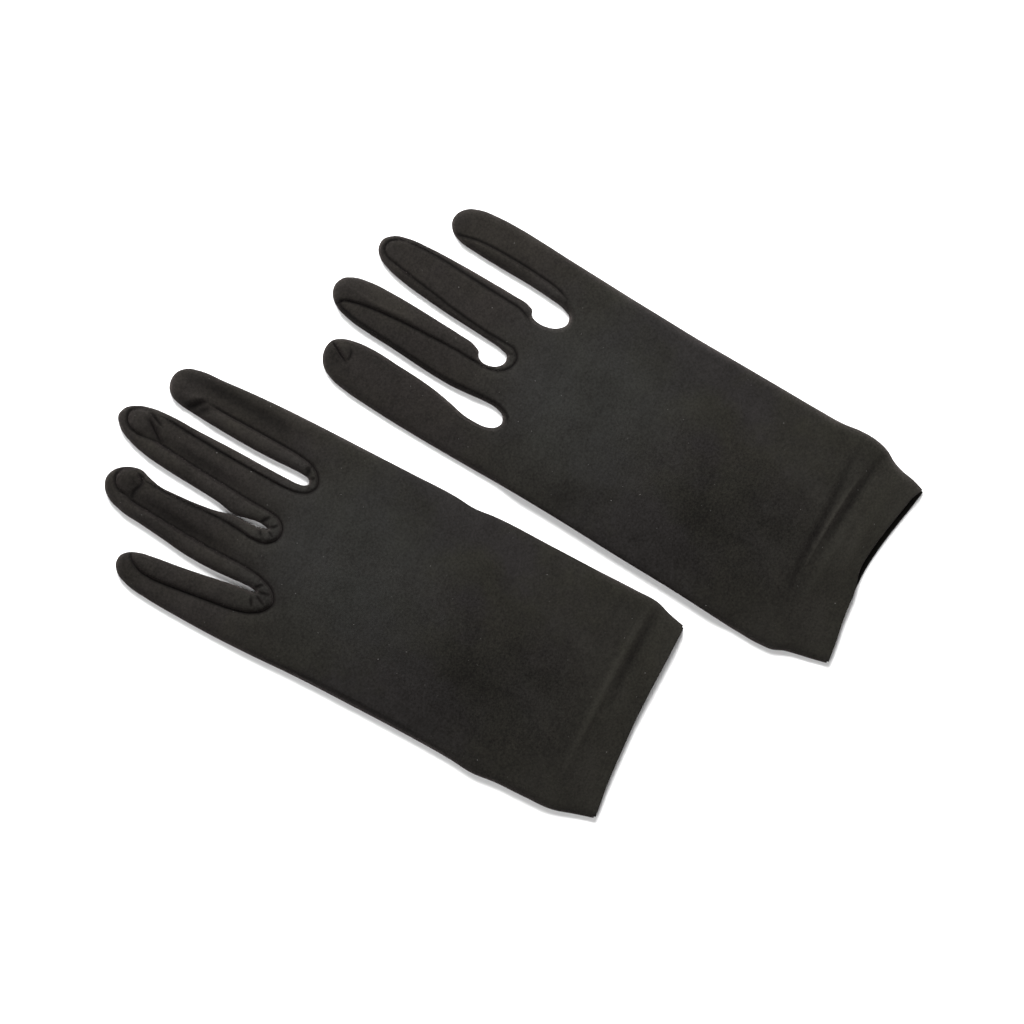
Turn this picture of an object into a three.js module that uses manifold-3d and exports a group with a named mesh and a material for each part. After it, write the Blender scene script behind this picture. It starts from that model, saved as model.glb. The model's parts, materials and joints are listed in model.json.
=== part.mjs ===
// A pair of plain knit gloves, laid flat side by side with the palms down and the thumbs tucked under.
// Millimetres. +Z is up, +Y runs towards the fingertips, and the pair stands on z = 0.
//
// Each glove is cut like a real one. The trank wraps the hand: it folds at the index finger's side and
// closes with a side seam at the little finger's side. Fourchettes are the strips between the fingers,
// the thumb is set into a hole in the palm, and the wrist edge is turned up inside as a hem.
import * as THREE from 'three';
import { mergeVertices } from 'three/addons/utils/BufferGeometryUtils.js';
import Module from 'manifold-3d';

// ---- Cloth and clearances ----
const CLOTH = 0.6;              // thickness of the knit
const GAP = 0.3;                // space between pieces that are sewn together
const WALL = 0.9;               // level width of a strip that stands on edge
const FOLD_BAND = 2;            // how far a folded or seamed edge leans in over its height

// ---- Heights as the gloves lie ----
const FINGER_HEIGHT = 6;
const PALM_HEIGHT = 7.6;
const THUMB_HEIGHT = 2.8;
const THUMB_CLEARANCE = 0.5;    // between the tucked thumb and the palm above it

// ---- Lengths along the glove, from the wrist edge ----
const PALM_LENGTH = 158;        // wrist edge to the line that the knuckles are set out from
const HEM_DEPTH = 15;
const KNUCKLE_CLEARANCE = 3.5;  // cloth left out on each side of a knuckle's axis, so it can bend square

// ---- Thumb ----
const THUMB_LENGTH = 62;
const THUMB_ROOT_WIDTH = 25;
const THUMB_TIP_WIDTH = 19;
const THUMB_TIP_BELOW_KNUCKLE = 32;   // from its tip, when it points straight up the hand
const THUMB_ROOT_FROM_EDGE = 15;
const THUMB_TUCK_ANGLE = 25;    // degrees that it points under the palm
const THUMB_HOLE_HALF_WIDTH = 9;
const THUMB_HOLE_HALF_LENGTH = 13;
const ROOM_MARGIN = 5;          // level space kept round the tucked thumb
const ROOM_RAMP = 12;           // length of the slope down from it

// ---- Fingertips and crotches ----
const TIP_ROUND = 9;            // length of a fingertip's rounded end
const TIP_LEAN = 2;             // how far the tip leans in over its height
const CROTCH_RADIUS = 4.2;      // outside radius of the strip where it turns between two fingers

// ---- The pair ----
const GLOVE_SPACING = 95.4;     // sideways, from the left glove's centre line to the right glove's
const RIGHT_SET_BACK = 50.1;    // how far the right glove lies back towards the wrist
const SPLAY = 1.25;             // degrees that each glove turns away from the other

// ---- Mesh density ----
const FINGER_STEPS = 4;
const TIP_STEPS = 5;
const PALM_ROWS = 14;
const HEM_ROWS = 1;

const BLACK_KNIT = { color: 0x2a2826, roughness: 0.92, metalness: 0 };
const HEM_KNIT = { color: 0x2d2b28, roughness: 0.9, metalness: 0 };

// Fingers from the little finger's side to the index finger's side. Widths are flat widths. A band is
// the width of the strip that shows from above: bands[0] on the little side, bands[1] on the index side.
// gap is the space to the next finger at the root, and lean moves the tip towards the index side.
// knuckle is how far the finger's knuckle lies past PALM_LENGTH, just above the crotches beside it.
const LEFT_GLOVE = {
  name: 'left',
  toIndex: 1,
  fingers: [
    {
      name: 'little', knuckle: 3, length: 44.5, rootWidth: 20.5, tipWidth: 14.5,
      bands: [2, 6.5], gap: 2.2, lean: -2,
    },
    {
      name: 'ring', knuckle: 8, length: 57.5, rootWidth: 20.5, tipWidth: 17.5,
      bands: [6.5, 2], gap: 1.6, lean: 0.8,
    },
    {
      name: 'middle', knuckle: 8, length: 64.5, rootWidth: 20.5, tipWidth: 18,
      bands: [6, 3.5], gap: 4, lean: 2.4,
    },
    {
      name: 'index', knuckle: 3, length: 57.5, rootWidth: 19, tipWidth: 16.5,
      bands: [6, 2], gap: 0, lean: 0.4,
    },
  ],
  littleSide: [{ y: 0, out: -4.4 }, { y: 15, out: 0 }, { y: 50, out: 1.6 }, { y: 75, out: 0.5 }],
  indexSide: [{ y: 0, out: -2.9 }, { y: 15, out: 0.6 }],
};
const RIGHT_GLOVE = {
  name: 'right',
  toIndex: -1,
  fingers: [
    {
      name: 'little', knuckle: -2, length: 48.5, rootWidth: 16, tipWidth: 15.5,
      bands: [2, 4], gap: 6, lean: -0.8,
    },
    {
      name: 'ring', knuckle: 9, length: 57.5, rootWidth: 19, tipWidth: 17,
      bands: [3, 3], gap: 5.5, lean: -0.8,
    },
    {
      name: 'middle', knuckle: 9, length: 64.5, rootWidth: 17.5, tipWidth: 17,
      bands: [5.5, 2], gap: 7.5, lean: -1.5,
    },
    {
      name: 'index', knuckle: 1, length: 63.5, rootWidth: 16.5, tipWidth: 19,
      bands: [2, 2], gap: 0, lean: -3,
    },
  ],
  littleSide: [
    { y: 0, out: -9 }, { y: 18, out: -2.7 }, { y: 26, out: -1.2 }, { y: 45, out: -2.4 }, { y: 150, out: 0 },
  ],
  indexSide: [
    { y: 0, out: -3 }, { y: 17, out: 2 }, { y: 28, out: 3.4 }, { y: 90, out: 0.8 }, { y: 130, out: 0 },
  ],
};

const wasm = await Module();
wasm.setup();

const { lerp, smoothstep, degToRad } = THREE.MathUtils;
const littleSideOf = (glove) => -glove.toIndex;
const palmRoom = THUMB_HEIGHT + THUMB_CLEARANCE;
const thumbRootY = PALM_LENGTH - THUMB_TIP_BELOW_KNUCKLE - THUMB_LENGTH;
const levelAgainY = thumbRootY + THUMB_LENGTH + ROOM_MARGIN + ROOM_RAMP;

function namedMesh(name, geometry, finish) {
  const mesh = new THREE.Mesh(geometry, new THREE.MeshStandardMaterial(finish));
  mesh.name = name;
  return mesh;
}

// One closed body from rows of cells. Each cell is a point of the sheet with its low and high face, cells
// run along +X within a row, and rows run along +Y.
function sheetGeometry(rows) {
  const across = rows[0].length;
  const last = rows.length - 1;
  const positions = rows.flat().flatMap((cell) => [
    cell.x, cell.y, cell.low,
    cell.highX ?? cell.x, cell.highY ?? cell.y, cell.high,
  ]);
  const low = (i, j) => 2 * (i * across + j);
  const high = (i, j) => low(i, j) + 1;
  const index = [];
  const quad = (a, b, c, d) => index.push(a, b, c, a, c, d);
  for (let i = 0; i < last; i += 1) {
    for (let j = 0; j < across - 1; j += 1) {
      quad(high(i, j), high(i, j + 1), high(i + 1, j + 1), high(i + 1, j));
      quad(low(i, j), low(i + 1, j), low(i + 1, j + 1), low(i, j + 1));
    }
    quad(low(i, 0), high(i, 0), high(i + 1, 0), low(i + 1, 0));
    quad(low(i, across - 1), low(i + 1, across - 1), high(i + 1, across - 1), high(i, across - 1));
  }
  for (let j = 0; j < across - 1; j += 1) {
    quad(low(0, j), low(0, j + 1), high(0, j + 1), high(0, j));
    quad(low(last, j), high(last, j), high(last, j + 1), low(last, j + 1));
  }
  const geometry = new THREE.BufferGeometry();
  geometry.setAttribute('position', new THREE.Float32BufferAttribute(positions, 3));
  geometry.setIndex(index);
  geometry.computeVertexNormals();
  return geometry;
}

// ---- Fingers ----

// Lays the fingers side by side across the hand and gives each its place, in the glove's own frame.
function placeFingers(glove) {
  const towardsIndex = glove.toIndex;
  const handWidth = glove.fingers.reduce((sum, finger) => sum + finger.rootWidth + finger.gap, 0);
  let edge = -handWidth / 2;
  const placed = glove.fingers.map((finger) => {
    const rootX = (edge + finger.rootWidth / 2) * towardsIndex;
    const knuckleY = PALM_LENGTH + finger.knuckle;
    const bands = towardsIndex > 0 ? finger.bands : [...finger.bands].reverse();
    const tipX = rootX + finger.lean * towardsIndex;
    edge += finger.rootWidth + finger.gap;
    return { ...finger, rootX, tipX, knuckleY, bands, height: FINGER_HEIGHT };
  });
  return { ...glove, placed, halfWidth: handWidth / 2 };
}

// One side of a finger's outline, from its root to the middle of its tip. side is -1 or +1 along X.
function fingerSide(finger, side, inset, tipInset) {
  const startY = finger.knuckleY + KNUCKLE_CLEARANCE;
  const tipY = finger.knuckleY + finger.length;
  const shoulderY = tipY - TIP_ROUND;
  const point = (y, narrowing) => {
    const along = (y - finger.knuckleY) / finger.length;
    const half = lerp(finger.rootWidth, finger.tipWidth, along) / 2;
    const reach = Math.max(GAP / 2, (half - inset) * narrowing);
    return { x: lerp(finger.rootX, finger.tipX, along) + side * reach, y };
  };
  const points = [];
  for (let i = 0; i < FINGER_STEPS; i += 1) {
    points.push(point(lerp(startY, shoulderY, i / FINGER_STEPS), 1));
  }
  for (let i = 0; i <= TIP_STEPS; i += 1) {
    const turn = (i / TIP_STEPS) * (Math.PI / 2);
    points.push(point(shoulderY + (TIP_ROUND - tipInset) * Math.sin(turn), Math.cos(turn)));
  }
  return points;
}

// A flat panel between the finger's two sides.
function fingerPanel(finger, insets, tipInset, low) {
  const left = fingerSide(finger, -1, insets[0], tipInset);
  const right = fingerSide(finger, 1, insets[1], tipInset);
  return sheetGeometry(left.map((point, i) => [
    { ...point, low, high: low + CLOTH },
    { ...right[i], low, high: low + CLOTH },
  ]));
}

// The strip along one side of a finger. It stands on the palm panel and leans in to the back panel.
function fingerStrip(finger, side, band) {
  const faces = [0, WALL].map((depth) => ({
    foot: fingerSide(finger, side, depth, depth),
    head: fingerSide(finger, side, band + depth, TIP_LEAN + depth),
  }));
  const ordered = side < 0 ? faces : faces.reverse();
  return sheetGeometry(ordered[0].foot.map((_, i) => ordered.map(({ foot, head }) => ({
    ...foot[i],
    highX: head[i].x,
    highY: head[i].y,
    low: CLOTH + GAP,
    high: finger.height,
  }))));
}

// Names of a finger's strips, from its little-finger side to its index side.
const STRIP_NAMES = {
  little: ['little_side_seam', 'little_fourchette'],
  ring: ['ring_outer_fourchette', 'ring_inner_fourchette'],
  middle: ['middle_outer_fourchette', 'middle_inner_fourchette'],
  index: ['index_fourchette', 'index_fold'],
  thumb: ['thumb_seam_strip', 'thumb_fold'],
};

function tube(glove, finger) {
  const group = new THREE.Group();
  const [leftBand, rightBand] = finger.bands;
  const names = glove.toIndex > 0 ? STRIP_NAMES[finger.name] : [...STRIP_NAMES[finger.name]].reverse();
  const lapped = WALL + GAP;
  const insets = [leftBand + lapped, rightBand + lapped];
  const back = fingerPanel(finger, insets, TIP_LEAN + lapped, finger.height - CLOTH);
  group.add(
    namedMesh(`${glove.name}_${finger.name}_back`, back, BLACK_KNIT),
    namedMesh(`${glove.name}_${finger.name}_palm`, fingerPanel(finger, [0, 0], 0, 0), BLACK_KNIT),
    namedMesh(`${glove.name}_${names[0]}`, fingerStrip(finger, -1, leftBand), BLACK_KNIT),
    namedMesh(`${glove.name}_${names[1]}`, fingerStrip(finger, 1, rightBand), BLACK_KNIT),
  );
  return group;
}

// ---- Thumb ----

const thumbRootX = (glove) => glove.toIndex * (glove.halfWidth - THUMB_ROOT_FROM_EDGE);

// The thumb is a flat tube that starts at its hole and lies under the palm. It turns about that hole.
function thumb(glove) {
  const shape = {
    name: 'thumb',
    rootX: 0,
    tipX: 0,
    knuckleY: -KNUCKLE_CLEARANCE,
    length: THUMB_LENGTH,
    rootWidth: THUMB_ROOT_WIDTH,
    tipWidth: THUMB_TIP_WIDTH,
    bands: [FOLD_BAND, FOLD_BAND],
    height: THUMB_HEIGHT,
  };
  const group = tube(glove, shape);
  group.position.set(thumbRootX(glove), thumbRootY, 0);
  group.rotation.z = degToRad(THUMB_TUCK_ANGLE * glove.toIndex);
  return group;
}

// How far the palm is lifted where the thumb lies under it.
function palmLift(glove, x, y) {
  const tuck = degToRad(THUMB_TUCK_ANGLE);
  const tipReach = THUMB_LENGTH * Math.sin(tuck) + THUMB_TIP_WIDTH / 2;
  const innerEdge = thumbRootX(glove) * glove.toIndex - tipReach - ROOM_MARGIN;
  const nearEnd = thumbRootY - THUMB_ROOT_WIDTH / 2 - ROOM_MARGIN;
  const farEnd = levelAgainY - ROOM_RAMP;
  const across = smoothstep(x * glove.toIndex, innerEdge - ROOM_RAMP, innerEdge);
  const up = smoothstep(y, nearEnd - ROOM_RAMP, nearEnd);
  const down = smoothstep(y, farEnd, farEnd + ROOM_RAMP);
  return palmRoom * across * up * (1 - down);
}

// ---- Palm ----

function alongProfile(profile, y) {
  const next = profile.findIndex((station) => station.y > y);
  if (next < 0) return profile.at(-1).out;
  const [from, to] = [profile[next - 1], profile[next]];
  return lerp(from.out, to.out, (y - from.y) / (to.y - from.y));
}

// The hand's edge at a distance y from the wrist, on the side -1 or +1 along X.
function palmEdge(glove, side, y) {
  const profile = side === littleSideOf(glove) ? glove.littleSide : glove.indexSide;
  return side * (glove.halfWidth + alongProfile(profile, y));
}

// Columns of the palm, along +X: the two edges and the middle of each finger's root.
function palmColumns(glove) {
  const fingers = [...glove.placed].sort((a, b) => a.rootX - b.rootX);
  return fingers.flatMap((finger) => [-1, 0, 1].map((side) => ({
    across: (finger.rootX + (side * finger.rootWidth) / 2 + glove.halfWidth) / (2 * glove.halfWidth),
    endY: finger.knuckleY - KNUCKLE_CLEARANCE,
  })));
}

// Rows of the palm: the wrist edge, the top of the hem, even steps up to where the palm is level again
// past the thumb, then the knuckles.
function palmRowY(i, endY) {
  if (i === 0) return 0;
  return i < PALM_ROWS ? lerp(HEM_DEPTH, levelAgainY, (i - 1) / (PALM_ROWS - 2)) : endY;
}

// A cloth layer over the hand: one row is the hem, and all of them reach the knuckles. offset is its
// height above the palm's underside.
function palmLayer(glove, inset, offset, rowCount = PALM_ROWS) {
  const rows = [];
  for (let i = 0; i <= rowCount; i += 1) {
    rows.push(palmColumns(glove).map(({ across, endY }) => {
      const y = palmRowY(i, endY);
      const x = lerp(palmEdge(glove, -1, y) + inset, palmEdge(glove, 1, y) - inset, across);
      const low = palmLift(glove, x, y) + offset;
      return { x, y, low, high: low + CLOTH };
    }));
  }
  return sheetGeometry(rows);
}

// The strip along one side of the hand: the fold at the index side, or the seam at the little side.
function palmStrip(glove, side) {
  const outerFinger = side === littleSideOf(glove) ? glove.placed[0] : glove.placed.at(-1);
  const rows = [];
  for (let i = 0; i <= PALM_ROWS; i += 1) {
    const y = palmRowY(i, outerFinger.knuckleY - KNUCKLE_CLEARANCE);
    const edge = palmEdge(glove, side, y);
    const lift = palmLift(glove, edge, y);
    const cells = [0, WALL].map((depth) => ({
      x: edge - side * depth,
      highX: edge - side * (depth + FOLD_BAND),
      y,
      low: lift + CLOTH + GAP,
      high: lift + PALM_HEIGHT,
    }));
    rows.push(side < 0 ? cells : cells.reverse());
  }
  return sheetGeometry(rows);
}

function solidOf(geometry) {
  const bare = geometry.clone();
  bare.deleteAttribute('normal');
  bare.deleteAttribute('uv');
  const merged = mergeVertices(bare);
  return new wasm.Manifold(new wasm.Mesh({
    numProp: 3,
    vertProperties: new Float32Array(merged.attributes.position.array),
    triVerts: new Uint32Array(merged.index.array),
  }));
}

function geometryOf(solid) {
  const { vertProperties, triVerts } = solid.getMesh();
  const geometry = new THREE.BufferGeometry();
  geometry.setAttribute('position', new THREE.Float32BufferAttribute(vertProperties, 3));
  geometry.setIndex(new THREE.BufferAttribute(triVerts, 1));
  geometry.computeVertexNormals();
  return geometry;
}

// The palm side of the trank, with the oval hole that the thumb is set into.
function palmPanel(glove) {
  const oval = new THREE.Shape();
  const radii = [THUMB_HOLE_HALF_WIDTH, THUMB_HOLE_HALF_LENGTH];
  oval.absellipse(thumbRootX(glove), thumbRootY, ...radii, 0, 2 * Math.PI);
  const cutting = { depth: 2 * PALM_HEIGHT, bevelEnabled: false, curveSegments: 8 };
  const cutter = new THREE.ExtrudeGeometry(oval, cutting);
  cutter.translate(0, 0, -PALM_HEIGHT / 2);
  return geometryOf(solidOf(palmLayer(glove, 0, 0)).subtract(solidOf(cutter)));
}

// The bend of a fourchette at the foot of the gap between two fingers.
function crotchBend(glove, finger, neighbour) {
  const [left, right] = finger.rootX < neighbour.rootX ? [finger, neighbour] : [neighbour, finger];
  const x = (left.rootX + left.rootWidth / 2 + right.rootX - right.rootWidth / 2) / 2;
  const centreY = Math.min(left.knuckleY, right.knuckleY) - KNUCKLE_CLEARANCE - GAP;
  const bend = new THREE.Shape();
  bend.absarc(x, centreY, CROTCH_RADIUS, Math.PI, 2 * Math.PI, false);
  bend.absarc(x, centreY, CROTCH_RADIUS - WALL, 2 * Math.PI, Math.PI, true);
  const depth = PALM_HEIGHT - 2 * (CLOTH + GAP);
  const geometry = new THREE.ExtrudeGeometry(bend, { depth, bevelEnabled: false, curveSegments: 6 });
  return geometry.translate(0, 0, CLOTH + GAP);
}

function palm(glove) {
  const group = new THREE.Group();
  const lapped = FOLD_BAND + WALL + GAP;
  const layerStep = CLOTH + GAP;
  const named = (name, geometry, finish = BLACK_KNIT) => (
    namedMesh(`${glove.name}_${name}`, geometry, finish)
  );
  group.add(
    named('trank_back', palmLayer(glove, lapped, PALM_HEIGHT - CLOTH)),
    named('trank_palm', palmPanel(glove)),
    named('trank_fold', palmStrip(glove, glove.toIndex)),
    named('side_seam', palmStrip(glove, littleSideOf(glove))),
    named('hem_back', palmLayer(glove, lapped, PALM_HEIGHT - CLOTH - layerStep, HEM_ROWS), HEM_KNIT),
    named('hem_palm', palmLayer(glove, lapped, layerStep, HEM_ROWS), HEM_KNIT),
  );
  glove.placed.slice(1).forEach((finger, i) => {
    const neighbour = glove.placed[i];
    const bend = crotchBend(glove, finger, neighbour);
    group.add(named(`crotch_${neighbour.name}_${finger.name}`, bend));
  });
  return group;
}

function buildGlove(spec) {
  const glove = placeFingers(spec);
  const group = new THREE.Group();
  group.add(palm(glove), thumb(glove), ...glove.placed.map((finger) => tube(glove, finger)));
  group.rotation.z = degToRad(SPLAY * glove.toIndex);
  return group;
}

// ---- The pair, centred on the origin ----

const pair = new THREE.Group();
const leftGlove = buildGlove(LEFT_GLOVE);
const rightGlove = buildGlove(RIGHT_GLOVE);
rightGlove.position.set(GLOVE_SPACING, -RIGHT_SET_BACK, 0);
pair.add(leftGlove, rightGlove);
const middle = new THREE.Box3().setFromObject(pair, true).getCenter(new THREE.Vector3());
pair.position.set(-middle.x, -middle.y, 0);

export default pair;
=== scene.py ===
"""A pair of black knit gloves laid flat, palms down, on a pale table, seen from straight above.

Each glove is drawn in its own plane: x across the hand, y from the wrist edge towards the fingertips,
in millimetres. Its outline and seams are smooth curves through a few points. The cloth between them is
triangulated along those curves, lifted to its height, given its thickness, and cut into pieces that
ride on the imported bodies.
"""
import json
import math

import bmesh
import bpy
import numpy as np
from mathutils import Matrix, Vector
from mathutils.geometry import delaunay_2d_cdt


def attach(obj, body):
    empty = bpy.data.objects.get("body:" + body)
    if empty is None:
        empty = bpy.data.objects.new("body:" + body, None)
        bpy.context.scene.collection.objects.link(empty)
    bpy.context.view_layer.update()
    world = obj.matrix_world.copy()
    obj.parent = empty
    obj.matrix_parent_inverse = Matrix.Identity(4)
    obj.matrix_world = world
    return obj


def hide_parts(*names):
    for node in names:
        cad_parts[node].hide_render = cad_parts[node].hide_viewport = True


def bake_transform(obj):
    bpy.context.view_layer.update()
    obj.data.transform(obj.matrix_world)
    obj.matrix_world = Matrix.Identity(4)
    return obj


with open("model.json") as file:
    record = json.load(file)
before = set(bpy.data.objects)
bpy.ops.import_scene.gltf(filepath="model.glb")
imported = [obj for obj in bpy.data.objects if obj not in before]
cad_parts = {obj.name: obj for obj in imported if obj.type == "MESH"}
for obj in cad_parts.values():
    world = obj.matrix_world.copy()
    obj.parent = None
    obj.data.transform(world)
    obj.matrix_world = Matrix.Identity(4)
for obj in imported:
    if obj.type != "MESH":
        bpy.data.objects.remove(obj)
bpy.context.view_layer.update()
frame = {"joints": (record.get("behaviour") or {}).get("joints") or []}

MM = 0.001

# ---- sizes, in millimetres
CLOTH = 0.5  # thickness of the knit
FINGER_HEIGHT = 5.2  # of a finger as it lies
PALM_HEIGHT = 6.0
EDGE_HEIGHT = 1.9  # where the cloth turns from the top to the underside
EDGE_ROLL = 3.2  # how far in from its edge the cloth reaches its full height
REST = 0.15  # the underside, above the table
THUMB_ROOM = 3.3  # how far the palm side is lifted over the thumb
THUMB_SWELL = 0.3  # share of that lift that reaches the back of the glove
ROOM_SIDE = (-23.5, -11.5)  # across the hand, from where the lift starts to where it is full
ROOM_START = (34.5, 46.5)  # the same along the hand
ROOM_END = (131, 143)  # and from where it ends to where the palm lies flat again

# A glove's outline starts at the outer corner of the wrist edge, on the side of smaller x, and runs up
# that side, round the fingers and down the other side. Each stretch is a smooth curve through its points.
LEFT = {
    "name": "left",
    "to_index": 1,
    "shift": 1.75,  # from the line that x is measured from to the glove's middle
    "index_root": (34.65, 161),
    "thumb_root": (29.15, 64),
    "fingers": ("little", "ring", "middle", "index"),
    "side_a": [(-41.6, -1.5), (-43.4, 5), (-46, 14), (-46.6, 26), (-46.8, 38), (-47.7, 48), (-46.9, 57),
               (-46.2, 75), (-45.9, 100), (-45.9, 125), (-46.5, 145), (-46.6, 160)],
    "tips": [
        [(-46.2, 175), (-45.5, 188), (-44.2, 197.5), (-41.8, 202.8), (-38.6, 205.1), (-35.2, 204.9),
         (-32.6, 202.4), (-31, 198.5), (-30, 193), (-28.9, 184), (-27.2, 172), (-25.7, 163)],
        [(-23.8, 163), (-24.2, 173), (-23.8, 183), (-22.5, 193), (-21.3, 203), (-20.3, 212), (-18.4, 218),
         (-15.4, 221.8), (-11.6, 223.3), (-7.8, 222.3), (-4.7, 219.2), (-3, 215.4), (-2.6, 212.4),
         (-3.7, 208.8), (-4.9, 204), (-4.9, 196), (-4.3, 187), (-3.3, 179.5), (-1.9, 173.6), (-2, 168.5)],
        [(-0.6, 168), (-1.5, 173), (-0.2, 181), (0.9, 194), (1.9, 206), (3, 214), (4.8, 221), (8, 227.2),
         (12, 230.1), (15.6, 229), (18.4, 225.3), (20.2, 219.5), (20.8, 212), (20.5, 200), (20.4, 185),
         (20, 170), (19.9, 161)],
        [(24, 161), (23.8, 170), (23.9, 180), (24.4, 190), (24.9, 198), (25.5, 205), (26.1, 210.5),
         (27.4, 214.8), (29.8, 217.4), (33, 218.4), (36.8, 217.7), (39.6, 215), (41.2, 210), (41.9, 200),
         (42.7, 188), (43.2, 175), (43.4, 160)],
    ],
    "crotches": [
        [(-24.9, 157.5), (-24.5, 153.8), (-24, 152.7), (-23.6, 154.2), (-23.5, 158)],
        [(-1.8, 164.5), (-1.3, 161.4), (-0.6, 159.4), (-0.1, 161.2), (0, 164.4)],
        [(20, 157), (20.6, 154.6), (21.8, 153.4), (23.3, 154.2), (23.9, 157)],
    ],
    "side_b": [(43.4, 140), (43.4, 120), (43.3, 101), (42.6, 93), (43.3, 85), (43.3, 60), (43.1, 40),
               (43.1, 24), (42.8, 14), (41, 8.5), (40, 4.5), (39.4, 1.8)],
    "wrist": [(39.4, 1.8), (25, 1.9), (10, 2.1), (0, 2), (-12, 1.4), (-28, 0.3), (-41.6, -1.5)],
    "splits": [155.5, 160.2, 160.2, 155.5],
    "knuckles": [161, 166, 166, 161],
    "seams": [
        [(-33.4, 204.6), (-33, 201.5), (-35, 199.6), (-37, 196), (-37.7, 190), (-37.2, 183), (-36.3, 175),
         (-35.2, 166), (-34, 157), (-32, 150.5), (-28.8, 146.2), (-24.8, 144.5), (-20.8, 147),
         (-18.4, 152.5), (-17.3, 160), (-17.2, 170), (-17, 180), (-16.4, 190), (-15.7, 200),
         (-14.9, 209), (-14, 214.5), (-14.6, 218.5), (-16.6, 220.9)],
        [(-6.2, 220.9), (-3.9, 216), (-5.2, 211), (-5.9, 203), (-5.9, 194), (-5.5, 184), (-5.4, 175),
         (-6, 168), (-6.5, 162), (-5.6, 157.2), (-3.2, 154.6), (0, 153.8), (3, 154.9), (5, 157.8),
         (5.6, 163), (5.9, 170), (6.8, 182), (7.7, 194), (8.7, 204), (9.4, 211), (9.2, 217),
         (8.4, 222.5), (9.4, 228.6)],
        [(16.8, 227.9), (19.2, 223), (19.2, 217), (18.8, 209), (18.2, 202), (17.6, 193), (17, 182),
         (16.6, 170), (16.5, 160.5), (17.2, 155), (19.2, 151.4), (22.5, 149.9), (26, 151.4),
         (28.6, 155), (29.8, 160.5), (30.4, 170), (30.8, 182), (31.1, 194), (31.6, 203), (32.2, 210),
         (31.6, 218.1)],
    ],
    # Stretches of a seam that hardly show, as (seam, first point, last point).
    "faint": [(0, 20, 22), (1, 0, 2), (1, 20, 22), (2, 0, 2), (2, 18, 20)],
    # Creases and ridges: (points, depth, half width). A ridge has a depth below zero. Each crease is also
    # given painted shade, and each ridge painted light.
    "creases": [
        ([(-44.7, 60), (-43.9, 78), (-43.6, 100), (-43.9, 122), (-44.9, 138), (-46, 147)], 0.5, 0.5),
        ([(8.6, 209), (11, 212.2), (13.6, 215.6), (16.2, 219.4)], 2.2, 0.95),
        ([(15.4, 212.4), (17, 216), (19.2, 220.4)], 1.3, 0.5),
        ([(9.2, 214), (8.9, 220), (11.2, 225.4), (15, 226.6), (18, 223.8), (18.9, 219)], 1.5, 0.6),
        ([(-15, 210.2), (-11, 211), (-7.4, 209.8), (-3, 211.4)], 1.0, 0.8),
        ([(-13.8, 212), (-12.8, 217.6), (-8.8, 220), (-5, 218.6), (-3.2, 213.6)], 1.6, 0.55),
        ([(-4.2, 213.4), (-5.4, 211), (-8, 210)], 1.6, 0.6),
        ([(-11, 214.8), (-8, 212.6), (-6.2, 215.4)], 0.9, 1.0),
        ([(24.8, 209), (28.4, 205.6), (32.2, 202)], 2.1, 1.3),
        ([(25.8, 205), (28.2, 202), (30.6, 198)], 1.3, 1.7),
        ([(29.6, 209.6), (31.6, 206), (33.2, 201)], -0.7, 1.2),
        ([(37, 215), (37.4, 204), (37.3, 193), (36.8, 180), (35.6, 164)], 1.55, 2.9),
        ([(11.4, 208), (10.6, 200), (9.4, 188), (8.6, 174)], 0.9, 2.1),
        ([(-12.6, 208), (-13.4, 196), (-14.4, 184), (-14.8, 170)], 1.15, 2.2),
        ([(-37.2, 195.6), (-34.6, 199.4), (-31.6, 202)], 0.4, 0.4),
        ([(-30, 150.8), (-27.6, 152.4), (-25.4, 153)], 0.8, 0.6),
        ([(-27.4, 146.8), (-26, 149.4), (-24.8, 152)], 0.8, 0.5),
        ([(-22.6, 146.6), (-23.2, 149.4), (-23.8, 152)], 0.9, 0.6),
        ([(-19.6, 150.4), (-21.2, 152), (-23, 153.6)], 1.0, 0.6),
        ([(-5.2, 158.6), (-3.2, 161), (-1.4, 163.2)], 0.9, 0.5),
        ([(-2.8, 155.8), (-1.8, 157.4), (-0.9, 159)], 0.9, 0.5),
        ([(2.6, 156), (1, 157.6), (0, 159)], 0.9, 0.6),
        ([(4.6, 160), (2.2, 161.6), (-0.2, 163)], 1.1, 0.7),
        ([(19.6, 151.8), (20.6, 152.8), (21.4, 153.8)], 0.7, 0.5),
        ([(25.4, 151.8), (24, 152.8), (22.8, 153.6)], 0.8, 0.5),
        ([(28.2, 156.4), (26, 155.4), (23.9, 155.2)], 1.2, 0.9),
        ([(-34, 16.6), (-8, 17), (10, 17.2), (28, 17), (43, 16)], -1.05, 1.3),
        ([(-2, 12.4), (14, 13.4), (28, 13.4), (42, 12.6)], 0.8, 1.6),
        *(([(x, 14.4), (x + 0.6, 15.4)], 0.9, 0.45) for x in (-12, -9.6, -4.4, -2.2, 3.8, 6)),
        ([(16, 5.8), (28, 7.6), (38, 9)], -0.35, 1.4),
    ],
    # Round lumps where a seam's end is rolled up: (x, y, radius, height).
    "lumps": [(14.2, 221, 4.2, 1.1), (-8.6, 215, 4.2, 0.9), (31.6, 212, 4.4, 0.9), (-37.5, 201, 4, 0.4)],
    "mouth": (5, 35, 0),  # where the wrist edge stands open, and how far its top is drawn back
    "hem": 13,
    "seam_dip": 1.45,
}
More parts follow.
